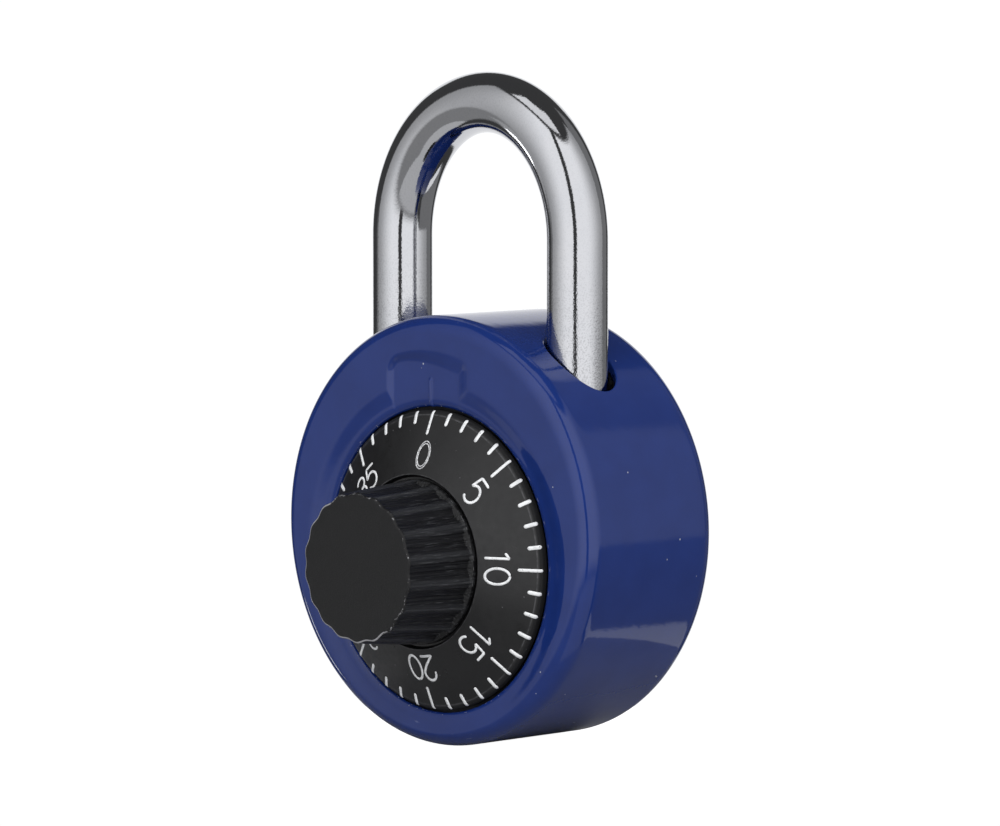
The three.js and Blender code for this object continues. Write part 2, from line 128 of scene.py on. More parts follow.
class Skin:
    """Points and faces of one piece."""

    def __init__(self):
        self.points = []
        self.faces = []
        self.count = 0

    def add(self, points):
        """Adds points of shape (..., 3) and returns their indices, of shape (...)."""
        points = np.asarray(points, float)
        indices = np.arange(self.count, self.count + points[..., 0].size).reshape(points.shape[:-1])
        self.points.append(points.reshape(-1, 3))
        self.count += indices.size
        return indices

    def quads(self, grid, keep=None):
        """Quads between the rows of an index grid, where keep is true. Each row is a closed loop."""
        grid = np.concatenate([grid, grid[:, :1]], axis=1)
        corners = np.stack([grid[:-1, :-1], grid[:-1, 1:], grid[1:, 1:], grid[1:, :-1]], axis=-1)
        if keep is not None:
            corners = corners[keep]
        self.faces.extend(corners.reshape(-1, 4).tolist())

    def cap_ends(self, grid):
        """Closes the first and the last row, each with one face."""
        self.faces.extend([grid[0].tolist(), grid[-1].tolist()])

    def mesh(self, name, material):
        made = bpy.data.meshes.new(name)
        made.from_pydata((np.concatenate(self.points) * MM).tolist(), [], self.faces)
        made.materials.append(material)
        return made

    def piece(self, name, material, body, slot, *nodes):
        """The finished object, riding on its body and standing for its CAD nodes."""
        mesh = self.mesh(name, material)
        shape = bmesh.new()
        shape.from_mesh(mesh)
        bmesh.ops.recalc_face_normals(shape, faces=shape.faces)
        shape.to_mesh(mesh)
        shape.free()
        mesh.shade_smooth()
        made = placed(name, mesh)
        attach(made, body)
        if nodes:
            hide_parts(*nodes)


def smooth_step(t):
    t = np.clip(t, 0, 1)
    return t * t * (3 - 2 * t)


def smooth_max(a, b, width):
    return (a + b + np.sqrt((a - b) ** 2 + width**2)) / 2


FILLET_STEPS = 5
SUPPORT = 0.05  # straight runs get a point this near to each end, so that they shade flat
LONGEST_RUN = 1.2


def fillet(before, corner, after, radius):
    """Points of the arc that rounds a corner of an outline."""
    back = before - corner
    ahead = after - corner
    back /= np.linalg.norm(back)
    ahead /= np.linalg.norm(ahead)
    half = math.acos(np.clip(back @ ahead, -1, 1)) / 2
    reach = radius / math.tan(half)
    middle = (back + ahead) / np.linalg.norm(back + ahead)
    centre = corner + middle * radius / math.sin(half)
    first = corner + back * reach - centre
    last = corner + ahead * reach - centre
    turn = math.pi - 2 * half
    points = []
    for t in np.linspace(0, 1, FILLET_STEPS + 1):
        spoke = math.sin((1 - t) * turn) * first + math.sin(t * turn) * last
        points.append(centre + spoke / math.sin(turn))
    return points


def with_supports(points, closed):
    """The same outline, with more points on its straight runs."""
    dense = []
    for i, here in enumerate(points):
        dense.append(here)
        if i == len(points) - 1 and not closed:
            break
        run = points[(i + 1) % len(points)] - here
        length = np.linalg.norm(run)
        if length > 4 * SUPPORT:
            pieces = max(2, math.ceil(length / LONGEST_RUN))
            inner = [SUPPORT / length, *(np.arange(1, pieces) / pieces), 1 - SUPPORT / length]
            dense.extend(here + run * t for t in inner)
    return np.array(dense)


def rounded(corners, closed=False):
    """An outline through (radius, y, fillet radius) corners. No fillet keeps a corner sharp."""
    places = [np.array(corner[:2], float) for corner in corners]
    points = []
    for i, (here, (*_, radius)) in enumerate(zip(places, corners)):
        if radius:
            points.extend(fillet(places[i - 1], here, places[(i + 1) % len(places)], radius))
        else:
            points.append(here)
    return with_supports(points, closed)


def turned(profile, columns, centre_z=0.0):
    """Points of an outline of (radius, y) turned about an axis parallel to Y."""
    angles = np.linspace(0, 2 * math.pi, columns, endpoint=False)
    r, y = profile[:, :1], profile[:, 1:]
    x = r * np.sin(angles)
    z = centre_z + r * np.cos(angles)
    return np.stack([x, np.broadcast_to(y, x.shape), z], axis=-1)


# ---- Node helpers ----------------------------------------------------------------------------


class Graph:
    """Short calls for building a node tree."""

    def __init__(self, tree):
        self.tree = tree

    def feed(self, socket, value):
        if isinstance(value, bpy.types.NodeSocket):
            self.tree.links.new(value, socket)
        else:
            socket.default_value = value

    def node(self, kind, inputs=None, **settings):
        made = self.tree.nodes.new("ShaderNode" + kind)
        for key, value in settings.items():
            setattr(made, key, value)
        for key, value in (inputs or {}).items():
            self.feed(made.inputs[key], value)
        return made

    def math(self, operation, *values):
        made = self.node("Math", operation=operation)
        for socket, value in zip(made.inputs, values):
            self.feed(socket, value)
        return made.outputs[0]

    def step(self, value, low, high, start=0.0, end=1.0):
        """A smooth step from start to end as value goes from low to high."""
        ends = {"Value": value, "From Min": low, "From Max": high, "To Min": start, "To Max": end}
        return self.node("MapRange", ends, interpolation_type="SMOOTHSTEP").outputs["Result"]

    def band(self, value, low, high, edge):
        """1 between low and high, and 0 beyond an edge of that width."""
        rise = self.step(value, low - edge, low)
        fall = self.step(value, high, high + edge, 1.0, 0.0)
        return self.math("MULTIPLY", rise, fall)

    def mix(self, factor, a, b):
        made = self.node("Mix", {0: factor, 6: a, 7: b}, data_type="RGBA")
        return made.outputs[2]


class Paint(Graph):
    """A material on one Principled shader, with masks in millimetres."""

    def __init__(self, name, **constants):
        self.material = bpy.data.materials.new(name)
        self.material.use_nodes = True
        super().__init__(self.material.node_tree)
        self.shader = self.tree.nodes["Principled BSDF"]
        for key, value in constants.items():
            self.shader.inputs[key.replace("_", " ")].default_value = value
        place = self.node("TexCoord").outputs["Object"]
        to_mm = self.node("VectorMath", {0: place, 1: (1 / MM,) * 3}, operation="MULTIPLY")
        self.place = to_mm.outputs[0]
        parts = self.node("SeparateXYZ", {0: self.place})
        self.x, self.y, self.z = parts.outputs

    def set(self, key, value):
        self.feed(self.shader.inputs[key], value)

    def radius(self, centre_z=0.0):
        """Distance from an axis parallel to Y."""
        up = self.math("SUBTRACT", self.z, centre_z)
        squares = self.math("ADD", self.math("POWER", self.x, 2.0), self.math("POWER", up, 2.0))
        return self.math("SQRT", squares)

    def angle(self, centre_z=0.0):
        """Angle about an axis parallel to Y, in radians from straight up."""
        return self.math("ARCTAN2", self.x, self.math("SUBTRACT", self.z, centre_z))

    def stretched(self, stretch):
        made = self.node("VectorMath", {0: self.place, 1: stretch}, operation="MULTIPLY")
        return made.outputs[0]

    def noise(self, scale, detail=2.0, stretch=(1, 1, 1), roughness=0.5):
        """Noise with about scale features to the millimetre."""
        inputs = {
            "Vector": self.stretched(stretch),
            "Scale": scale,
            "Detail": detail,
            "Roughness": roughness,
        }
        return self.node("TexNoise", inputs).outputs[0]

    def dots(self, scale, size):
        """Scattered round dots, size from 0 to 1 of their spacing."""
        inputs = {"Vector": self.place, "Scale": scale}
        far = self.node("TexVoronoi", inputs).outputs["Distance"]
        return self.step(far, size * 0.6, size, 1.0, 0.0)

    def bump(self, height, depth, normal=None, key="Normal"):
        """Bumps of that depth, in millimetres."""
        inputs = {"Height": height, "Distance": depth * MM, "Strength": 1.0}
        if normal is not None:
            inputs["Normal"] = normal
        made = self.node("Bump", inputs).outputs[0]
        self.set(key, made)
        return made


# ---- Materials -------------------------------------------------------------------------------

BLUE = (0.009, 0.0275, 0.157, 1)
DEEP_BLUE = (0.0075, 0.024, 0.141, 1)
PALE_BLUE = (0.16, 0.19, 0.33, 1)
PRIMER = (0.5, 0.52, 0.58, 1)
BLACK = (0.0075, 0.0075, 0.008, 1)
SOFT_BLACK = (0.0055, 0.0055, 0.006, 1)
GREY = (0.055, 0.055, 0.06, 1)
# Grey of the knob's fine lines, and of the painted highlight along its ridges.
LINE_AND_RIDGE_HIGHLIGHT_GREY = (0.06, 0.062, 0.066, 1)
DUST = (0.3, 0.3, 0.32, 1)
# Pale plastic of worn spots on the knob, and of the painted highlight lines on its front edge and foot.
BARE_PLASTIC_AND_EDGE_HIGHLIGHT = (0.42, 0.42, 0.44, 1)
WHITE = (0.84, 0.85, 0.86, 1)
THIN_WHITE = (0.4, 0.4, 0.41, 1)
CHROME = (0.6, 0.6, 0.615, 1)
DULL_CHROME = (0.54, 0.55, 0.575, 1)
DARK_CHROME = (0.27, 0.27, 0.28, 1)

# Where wear and finish change, in millimetres
LOW_WALL_Z = (-19.0, -22.5)  # the enamel's scratches fade in from the first to the second
FLECK_WIDTH = 0.22  # width of the opening's edge that has flecks
DIAL_RIM_LINE_R = (16.16, 16.24)  # where the dial's cone turns into its edge; a pale line there is rubbed paint and painted highlight
DIAL_MATT_R = (16.2, 16.5)  # the dial turns matt from the first to the second


def enamel():
    """Glossy baked enamel: faint orange peel, dust in the coat, and worn spots at its edges."""
    paint = Paint("blue_enamel", Roughness=0.42, Coat_Weight=1.0, Coat_Roughness=0.07, IOR=1.5)
    paint.shader.inputs["Specular IOR Level"].default_value = 0.0
    shade = paint.step(paint.noise(0.22, 3), 0.3, 0.7)
    colour = paint.mix(shade, DEEP_BLUE, BLUE)

    rubbed = paint.step(paint.noise(1.1, 5, (0.5, 9, 0.5), 0.7), 0.6, 0.72)
    low = paint.step(paint.z, *LOW_WALL_Z)
    patchy = paint.step(paint.noise(0.35, 2), 0.5, 0.62)
    scratches = paint.math("MULTIPLY", rubbed, paint.math("MULTIPLY", low, patchy))
    colour = paint.mix(paint.math("MULTIPLY", scratches, 0.5), colour, PALE_BLUE)

    rim = paint.band(paint.radius(DIAL_Z), OPENING_R, OPENING_R + FLECK_WIDTH, 0.1)
    chipped = paint.step(paint.noise(2.6, 4, roughness=0.7), 0.62, 0.68)
    on_front = paint.step(paint.y, CASE_FRONT + 2.0, CASE_FRONT + 1.5)
    flecks = paint.math("MULTIPLY", paint.math("MULTIPLY", rim, on_front), chipped)
    few = paint.step(paint.noise(0.4, 1), 0.56, 0.6)
    specks = paint.math("MULTIPLY", paint.dots(0.55, 0.07), few)
    marks = paint.math("MAXIMUM", flecks, specks)
    paint.set("Base Color", paint.mix(paint.math("MULTIPLY", marks, 0.75), colour, PRIMER))
    paint.set("Roughness", paint.step(paint.noise(0.8, 4), 0.2, 0.8, 0.36, 0.5))

    peel = paint.noise(0.75, 2)
    grain = paint.noise(5.0, 3)
    height = paint.math("ADD", peel, paint.math("MULTIPLY", grain, 0.05))
    coat = paint.bump(height, 0.011, key="Coat Normal")
    paint.bump(specks, 0.02, coat)
    return paint.material


def dial_paint():
    """Semi-gloss black with dust, and pale lines where the cone turns into its edge and at the groove's
    edge, which are rubbed paint and painted highlight.
    """
    paint = Paint("dial_black", Roughness=0.33, IOR=1.5)
    few = paint.step(paint.noise(0.6, 1), 0.5, 0.58)
    dusty = paint.math("MULTIPLY", paint.dots(0.9, 0.07), few)
    radius = paint.radius(DIAL_Z)
    worn = paint.step(paint.noise(1.6, 4), 0.36, 0.6, 0.25, 0.9)
    # Pale lines at the cone's outer edge and at the groove's edge: rubbed paint, and painted highlight
    # lines along these edges.
    rim_wear_and_highlight = paint.math(
        "MAXIMUM",
        paint.band(radius, *DIAL_RIM_LINE_R, 0.06),
        paint.band(radius, GROOVE_R - 0.03, GROOVE_R + 0.05, 0.04),
    )
    edge = paint.math("MULTIPLY", rim_wear_and_highlight, worn)
    shade = paint.mix(paint.step(paint.noise(0.3, 4), 0.35, 0.7), BLACK, SOFT_BLACK)
    colour = paint.mix(paint.math("MULTIPLY", dusty, 0.45), shade, DUST)
    paint.set("Base Color", paint.mix(paint.math("MULTIPLY", edge, 0.16), colour, DUST))
    polish = paint.step(paint.noise(1.2, 5), 0.25, 0.75, 0.27, 0.4)
    matt = paint.step(radius, *DIAL_MATT_R, 0.0, 0.85)
    paint.set("Roughness", paint.math("MAXIMUM", polish, matt))
    height = paint.math("ADD", paint.noise(3.2, 4), paint.math("MULTIPLY", dusty, 2.0))
    paint.bump(height, 0.008)
    return paint.material


def mark_paint():
    """White paint filled into shallow engraving, thin and missing in places."""
    paint = Paint("white_marks", Roughness=0.55, IOR=1.45)
    missing = paint.step(paint.noise(3.2, 4, roughness=0.65), 0.6, 0.68)
    thin = paint.step(paint.noise(1.0, 3), 0.45, 0.75, 0.0, 0.35)
    colour = paint.mix(thin, WHITE, DUST)
    paint.set("Base Color", paint.mix(paint.math("MULTIPLY", missing, 0.7), colour, GREY))
    paint.bump(paint.noise(6.0, 3), 0.012)
    return paint.material


def worn_mark_paint():
    """What is left of the zero's paint, along the edges of its engraving."""
    paint = Paint("worn_marks", Roughness=0.5, IOR=1.45)
    left = paint.step(paint.noise(4.0, 4, roughness=0.7), 0.42, 0.62)
    paint.set("Base Color", paint.mix(left, THIN_WHITE, WHITE))
    paint.bump(paint.noise(6.0, 3), 0.012)
    return paint.material


def knob_plastic():
    """Black plastic: fine lines along the knob's sides with a painted highlight along each scallop's
    ridge, and pale marks on its front and foot edges that are part wear and part painted highlight line,
    which is strongest on the front edge's left side.
    """
    paint = Paint("knob_black", Roughness=0.4, IOR=1.4)
    streaks = paint.noise(1.3, 4, (4, 0.12, 4), 0.7)
    front_edge = paint.math(
        "MULTIPLY",
        paint.step(paint.y, KNOB_FRONT + 0.13, KNOB_FRONT + 0.09),
        paint.step(paint.y, KNOB_FRONT + 0.004, KNOB_FRONT + 0.012),
    )
    # Painted highlight: more of the front edge turns pale towards the left and upper left, so that its
    # chips join into a light line there.
    leaning = paint.math("ADD", paint.x, paint.math("MULTIPLY", paint.z, 0.6))
    edge_highlight_side = paint.step(leaning, 1, -5, 0.6, 0.3)
    ragged = paint.noise(2.0, 5, roughness=0.75)
    chipped = paint.step(paint.math("SUBTRACT", ragged, edge_highlight_side), -0.04, 0.06)
    # Pale band at the top of the foot: rubbed wear, and a painted highlight line along that edge.
    foot = paint.band(paint.y, KNOB_BACK - 0.43, KNOB_BACK - 0.38, 0.04)
    rubbed = paint.step(paint.noise(1.4, 5, roughness=0.7), 0.5, 0.62)
    wear_and_highlights = paint.math(
        "MAXIMUM",
        paint.math("MULTIPLY", front_edge, chipped),
        paint.math("MULTIPLY", paint.math("MULTIPLY", foot, rubbed), 0.35),
    )
    side = paint.step(paint.y, KNOB_FRONT + 0.1, KNOB_FRONT + 0.4)
    turns = paint.math("MULTIPLY", paint.angle(DIAL_Z), float(SCALLOPS))
    # Painted highlight: the colour is lighter along each scallop's ridge.
    ridge_highlight = paint.math("MULTIPLY", paint.step(paint.math("COSINE", turns), 0.3, 1.0), 0.45)
    lines = paint.math("MULTIPLY", paint.math("ADD", paint.step(streaks, 0.54, 0.68), ridge_highlight), side)
    colour = paint.mix(paint.math("MULTIPLY", lines, 0.6), SOFT_BLACK, LINE_AND_RIDGE_HIGHLIGHT_GREY)
    paint.set("Base Color", paint.mix(paint.math("MULTIPLY", wear_and_highlights, 0.7), colour, BARE_PLASTIC_AND_EDGE_HIGHLIGHT))
    paint.set("Roughness", paint.step(streaks, 0.3, 0.7, 0.34, 0.5))
    height = paint.math("ADD", paint.noise(4.0, 3), paint.math("MULTIPLY", streaks, 1.2))
    paint.bump(height, 0.01)
    return paint.material


def chrome():
    """Bright plating with a fine pebbled grain, which is stronger on the legs than on the arch."""
    paint = Paint("bright_chrome", Metallic=1.0, Roughness=0.05)
    light = paint.mix(paint.noise(0.3, 3), DULL_CHROME, CHROME)
    lower = paint.step(paint.z, 34, 18, 0.25, 1.0)
    pebbles = paint.step(paint.noise(5.2, 2, roughness=0.7), 0.47, 0.64)
    speckle = paint.math("MULTIPLY", pebbles, lower)
    paint.set("Base Color", paint.mix(paint.math("MULTIPLY", speckle, 0.4), light, DARK_CHROME))
    paint.set("Roughness", paint.step(paint.noise(0.7, 4), 0.3, 0.75, 0.03, 0.07))
    grain = paint.math("MULTIPLY", paint.noise(4.5, 2, roughness=0.6), lower)
    paint.bump(grain, 0.018)
    return paint.material


def brushed(name, light, dark, roughness):
    """Plain turned or stamped metal with fine lines and a little stain."""
    paint = Paint(name, Metallic=1.0, Roughness=roughness)
    lines = paint.noise(1.5, 4, (6, 0.5, 0.7), 0.65)
    stain = paint.step(paint.noise(0.35, 4), 0.4, 0.7)
    paint.set("Base Color", paint.mix(stain, light, dark))
    paint.set("Roughness", paint.step(lines, 0.3, 0.7, roughness - 0.08, roughness + 0.12))
    paint.bump(lines, 0.006)
    return paint.material


# ---- Case ------------------------------------------------------------------------------------

FRONT_ROWS = 72
TOP_COLUMNS = 384
SIDE_COLUMNS = 160
TOP_SPREAD = 28.0  # the columns are closer together this far each side of the top, in degrees
WALL_Y = np.linspace(CASE_FRONT + FRONT_EDGE_R, CASE_BACK - REAR_EDGE_R, 34)
HOLE_PATCH_TURN = (19, 55)  # a leg hole's rings take up the wall between these angles
HOLE_PATCH_Y = (-17.2, -6.4)


def pressed_depth(x, z):
    """Depth of the case front at a point: a ring round the dial, a tab above it, an index line."""
    ring = (RECESS_OUTER_R - np.hypot(x, z - DIAL_Z)) / (RECESS_OUTER_R - RECESS_INNER_R)
    across = np.abs(x - TAB_X) - TAB_HALF_WIDTH + TAB_CORNER_R
    up = np.hypot(x, z) - TAB_TOP_R + TAB_CORNER_R
    beyond = np.hypot(np.maximum(across, 0), np.maximum(up, 0))
    within = np.minimum(np.maximum(across, up), 0)
    side = smooth_step((x - TAB_X) / (2 * TAB_HALF_WIDTH) + 0.5)
    slope = TAB_SLOPE_LEFT + (TAB_SLOPE_RIGHT - TAB_SLOPE_LEFT) * side
    upper = z > UPPER_FRONT_Z
    tab = np.where(upper, (TAB_CORNER_R - beyond - within) / slope, -1)
    ring_depth = RECESS_DEPTH * smooth_step(ring)
    tab_depth = TAB_DEPTH * smooth_step(tab)
    depth = smooth_max(ring_depth, tab_depth, PRESS_BLEND) - PRESS_BLEND / 2
    line = np.exp(-(((x - TAB_X) / INDEX_HALF_WIDTH) ** 2)) * smooth_step((INDEX_Z - z) / INDEX_FADE)
    return depth - np.where(upper, INDEX_RISE * line, 0)


def front_rows(turns):
    """Rows from the opening's wall, over its rolled edge and the pressed front, to the flat's rim."""
    sines = np.sin(turns)
    cosines = np.cos(turns)
    rows = []

    def row(radius, y=None):
        """A row at y, or else on the pressed front."""
        x = radius * sines
        z = DIAL_Z + radius * cosines
        if y is None:
            y = CASE_FRONT + pressed_depth(x, z)
        rows.append(np.stack([x, y, z], axis=-1))

    roll_r = OPENING_R + ROLL_WIDTH
    roll_y = CASE_FRONT + pressed_depth(roll_r * sines, DIAL_Z + roll_r * cosines)
    back = CASE_FRONT + SHEET
    for share in (0, 0.4, 0.9):
        row(OPENING_R, back + share * (roll_y + ROLL_DEPTH - back))
    for angle in np.linspace(math.pi / 2, 0, 12):
        row(roll_r - ROLL_WIDTH * math.sin(angle), roll_y + ROLL_DEPTH * (1 - math.cos(angle)))
    flat_r = CASE_R - FRONT_EDGE_R
    along = DIAL_Z * cosines
    reach = -along + np.sqrt(along**2 - DIAL_Z**2 + flat_r**2)
    for share in np.linspace(0, 1, FRONT_ROWS + 1)[1:]:
        row(roll_r + share * (reach - roll_r))
    return np.array(rows)


def case_columns():
    """Angles of the shell's columns, closest together about the tab and the index line."""
    left = np.linspace(-180, -TOP_SPREAD, SIDE_COLUMNS, endpoint=False)
    top = np.linspace(-TOP_SPREAD, TOP_SPREAD, TOP_COLUMNS, endpoint=False)
    right = np.linspace(TOP_SPREAD, 180, SIDE_COLUMNS, endpoint=False)
    return np.radians(np.concatenate([left, top, right]))


def arc(centre, radius, start, end, steps):
    """Points of an arc in (radius, y), with angles in degrees from the outward direction."""
    angles = np.radians(np.linspace(start, end, steps + 1))
    return [(centre[0] + radius * math.cos(a), centre[1] + radius * math.sin(a)) for a in angles]


def about_case(profile, spin):
    """Rows of (radius, y) points about the case axis, at the angles in spin."""
    rows = []
    for r, y in profile:
        rows.append(np.stack([r * np.sin(spin), np.full_like(spin, y), r * np.cos(spin)], axis=-1))
    return np.array(rows)


def hole_through(skin, outer, inner, side, turns):
    """Opens a round leg hole between matching wall grids, with softly rounded rims.

    Returns the cells of both grids that the hole takes the place of.
    """
    spin = np.degrees(turns) * side
    columns = np.flatnonzero((spin > HOLE_PATCH_TURN[0]) & (spin < HOLE_PATCH_TURN[1]))
    rows = np.flatnonzero((WALL_Y > HOLE_PATCH_Y[0]) & (WALL_Y < HOLE_PATCH_Y[1]))
    c0, c1, r0, r1 = columns[0], columns[-1], rows[0], rows[-1]
    across = np.arange(c0, c1 + 1)
    down = np.arange(r0, r1 + 1)
    loop = [(r0, c) for c in across]
    loop += [(r, c1) for r in down[1:]]
    loop += [(r1, c) for c in across[-2::-1]]
    loop += [(r, c0) for r in down[-2:0:-1]]
    points = np.concatenate(skin.points)
    mouth_r = LEG_HOLE_R + LEG_HOLE_RIM

    def edge_of(grid):
        indices = np.array([grid[r, c] for r, c in loop])
        return indices, points[indices][:, :2]

    outer_loop, outer_xy = edge_of(outer)
    inner_loop, inner_xy = edge_of(inner)
    centre = np.array((side * LEG_HOLE_X, LEG_HOLE_Y))
    spokes = outer_xy - centre
    spokes /= np.linalg.norm(spokes, axis=1, keepdims=True)

    def at(xy, wall_r, drop=0.0):
        """Points on a wall of that radius, or a little below it."""
        z = np.sqrt(wall_r**2 - xy[:, 0] ** 2) - drop
        return skin.add(np.column_stack([xy, z]))

    def funnel(edge_xy, wall_r, sign):
        """Rings from the patch's edge to the hole, and over its rim towards the other wall."""
        mouth = centre + spokes * mouth_r
        made = [at(edge_xy + t * (mouth - edge_xy), wall_r) for t in (0.25, 0.5, 0.75, 0.92, 0.985, 1)]
        for angle in np.linspace(0, math.pi / 2, 6)[1:]:
            xy = centre + spokes * (mouth_r - LEG_HOLE_RIM * math.sin(angle))
            made.append(at(xy, wall_r, sign * LEG_HOLE_RIM * (1 - math.cos(angle))))
        return made

    loops = [outer_loop, *funnel(outer_xy, CASE_R, 1)]
    loops += [*funnel(inner_xy, CASE_R - SHEET, -1)[::-1], inner_loop]
    skin.quads(np.array(loops))
    taken = np.zeros((len(WALL_Y) - 1, len(turns)), bool)
    taken[r0:r1, c0:c1] = True
    return taken


def front_bend(spin):
    """The round edge between the pressed front and the wall."""
    bend = arc((CASE_R - FRONT_EDGE_R, CASE_FRONT + FRONT_EDGE_R), FRONT_EDGE_R, -90, 0, 16)
    rows = about_case(bend[1:-1], spin)
    pressed = pressed_depth(rows[..., 0], rows[..., 2])
    fall = rows[..., 1] - CASE_FRONT
    rows[..., 1] = CASE_FRONT + (fall**4 + pressed**4) ** 0.25  # a soft crest where they meet
    return rows


def rear_lip(spin):
    """The rolled rear edge and its lip, from the outer wall to the inner one."""
    bend = (CASE_R - REAR_EDGE_R, CASE_BACK - REAR_EDGE_R)
    lip_edge = (LIP_R + SHEET / 2, CASE_BACK - SHEET / 2)
    outline = arc(bend, REAR_EDGE_R, 0, 90, 14)[1:]
    outline += arc(lip_edge, SHEET / 2, 90, 270, 8)
    outline += arc(bend, REAR_EDGE_R - SHEET, 90, 0, 8)[:-1]
    return about_case(outline, spin)


def front_inside(opening, spin):
    """The front sheet's inner side, from the inner wall's corner to the opening."""
    corner_r = FRONT_EDGE_R - SHEET
    centre = (CASE_R - SHEET - corner_r, CASE_FRONT + SHEET + corner_r)
    corner = about_case(arc(centre, corner_r, 0, -90, 4)[1:], spin)
    shares = np.linspace(0, 1, 6)[1:-1, None, None]
    return np.concatenate([corner, corner[-1] + shares * (opening - corner[-1])])


def case_shell(material):
    """The drawn shell as one closed skin: front, wall, rolled rear lip and the inside."""
    skin = Skin()
    front = front_rows(case_columns())
    spin = np.arctan2(front[-1][:, 0], front[-1][:, 2])
    outer_wall = skin.add(about_case([(CASE_R, y) for y in WALL_Y], spin))
    inner_wall = skin.add(about_case([(CASE_R - SHEET, y) for y in WALL_Y], spin))
    left, right = (hole_through(skin, outer_wall, inner_wall, side, spin) for side in (-1, 1))
    skin.quads(outer_wall, keep=~(left | right))
    skin.quads(inner_wall, keep=~(left | right))
    face = skin.add(np.concatenate([front, front_bend(spin)]))
    lip = skin.add(rear_lip(spin))
    inside = skin.add(front_inside(front[0], spin))
    skin.quads(np.concatenate([face, outer_wall[:1]]))
    skin.quads(np.concatenate([outer_wall[-1:], lip, inner_wall[-1:]]))
    skin.quads(np.concatenate([inner_wall[:1], inside, face[:1]]))
    skin.piece("case_shell", material, "case", "case_enamel", "outer_case")


def cover_panel(material):
    """Back cover: flange under the lip, step, and a raised flat panel with a softened edge."""
    flange_back = CASE_BACK - SHEET - COVER_GAP
    outline = rounded([
        (0, -COVER_SHEET, 0),
        (PANEL_R - 1.25, -COVER_SHEET, 0.3),
        (PANEL_R + 0.05, flange_back - COVER_SHEET, 0.3),
        (FLANGE_R, flange_back - COVER_SHEET, 0.15),
        (FLANGE_R, flange_back, 0.15),
        (PANEL_R + 1.15, flange_back, 0.35),
        (PANEL_R, 0, 0.6),
        (0, 0, 0),
    ])
    skin = Skin()
    grid = skin.add(turned(outline[1:-1], 240))
    skin.quads(grid)
    skin.cap_ends(grid)
    skin.piece("cover_panel", material, "case", "case_enamel", "back_cover")


# ---- Dial ------------------------------------------------------------------------------------

CONE_INSET = 0.28  # the full cone would end this far inside the dial's edge,
CONE_RISE = 0.43  # and this far in front of it
BEVEL_START_R = 16.2
BEVEL_R = 0.95  # the cone turns over this radius towards the dial's edge
BEVEL_TURN = math.radians(38)


def cone_y(r):
    return DIAL_EDGE_Y - CONE_RISE - DIAL_CONE * (DIAL_EDGE_R - CONE_INSET - r)


CONE_NORMAL = np.array((DIAL_CONE, -1)) / math.hypot(DIAL_CONE, 1)  # in (radius, y)
BEVEL_CENTRE = np.array((BEVEL_START_R, cone_y(BEVEL_START_R))) - BEVEL_R * CONE_NORMAL


def dial_surface(way):
    """(Point, normal) in (radius, y), a way out from the axis along the cone and over its edge."""
    if way <= BEVEL_START_R:
        return np.array((way, cone_y(way))), CONE_NORMAL
    start = math.atan2(CONE_NORMAL[1], CONE_NORMAL[0])
    angle = min(0.0, start + (way - BEVEL_START_R) / BEVEL_R)
    normal = np.array((math.cos(angle), math.sin(angle)))
    return BEVEL_CENTRE + BEVEL_R * normal, normal


def dial_face(material):
    """Cupped dial with a rounded edge and a groove round the knob's foot."""
    skirt = CASE_FRONT + SHEET - 0.05
    bend_end = BEVEL_START_R + BEVEL_R * BEVEL_TURN
    bend = [(*dial_surface(way)[0], 0) for way in np.linspace(BEVEL_START_R + 0.1, bend_end, 9)]
    outline = rounded([
        (BORE_R, HUB_FRONT, 0.05),
        (GROOVE_R - 0.27, HUB_FRONT, 0.1),
        (GROOVE_R - 0.02, cone_y(GROOVE_R), 0.09),
        *bend,
        (bend[-1][0], skirt, 0.05),
        (DIAL_EDGE_R - 0.9, skirt, 0.05),
        (DIAL_EDGE_R - 1.1, skirt - 0.3, 0.1),
        (GROOVE_R + 0.2, HUB_BACK, 0.1),
        (BORE_R, HUB_BACK, 0.05),
    ], closed=True)
    skin = Skin()
    grid = skin.add(turned(outline, 288, DIAL_Z))
    skin.quads(np.concatenate([grid, grid[:1]]))
    skin.piece("dial_face", material, "dial", "dial_black", "dial")


MARK_LIFT = 0.025  # paint stands this proud of the dial
MARK_SINK = 0.05  # and reaches this far into it
STROKE_STEP = 0.12
STROKE_SECTION = ((-1, -MARK_SINK), (-0.86, MARK_LIFT), (0.86, MARK_LIFT), (1, -MARK_SINK))


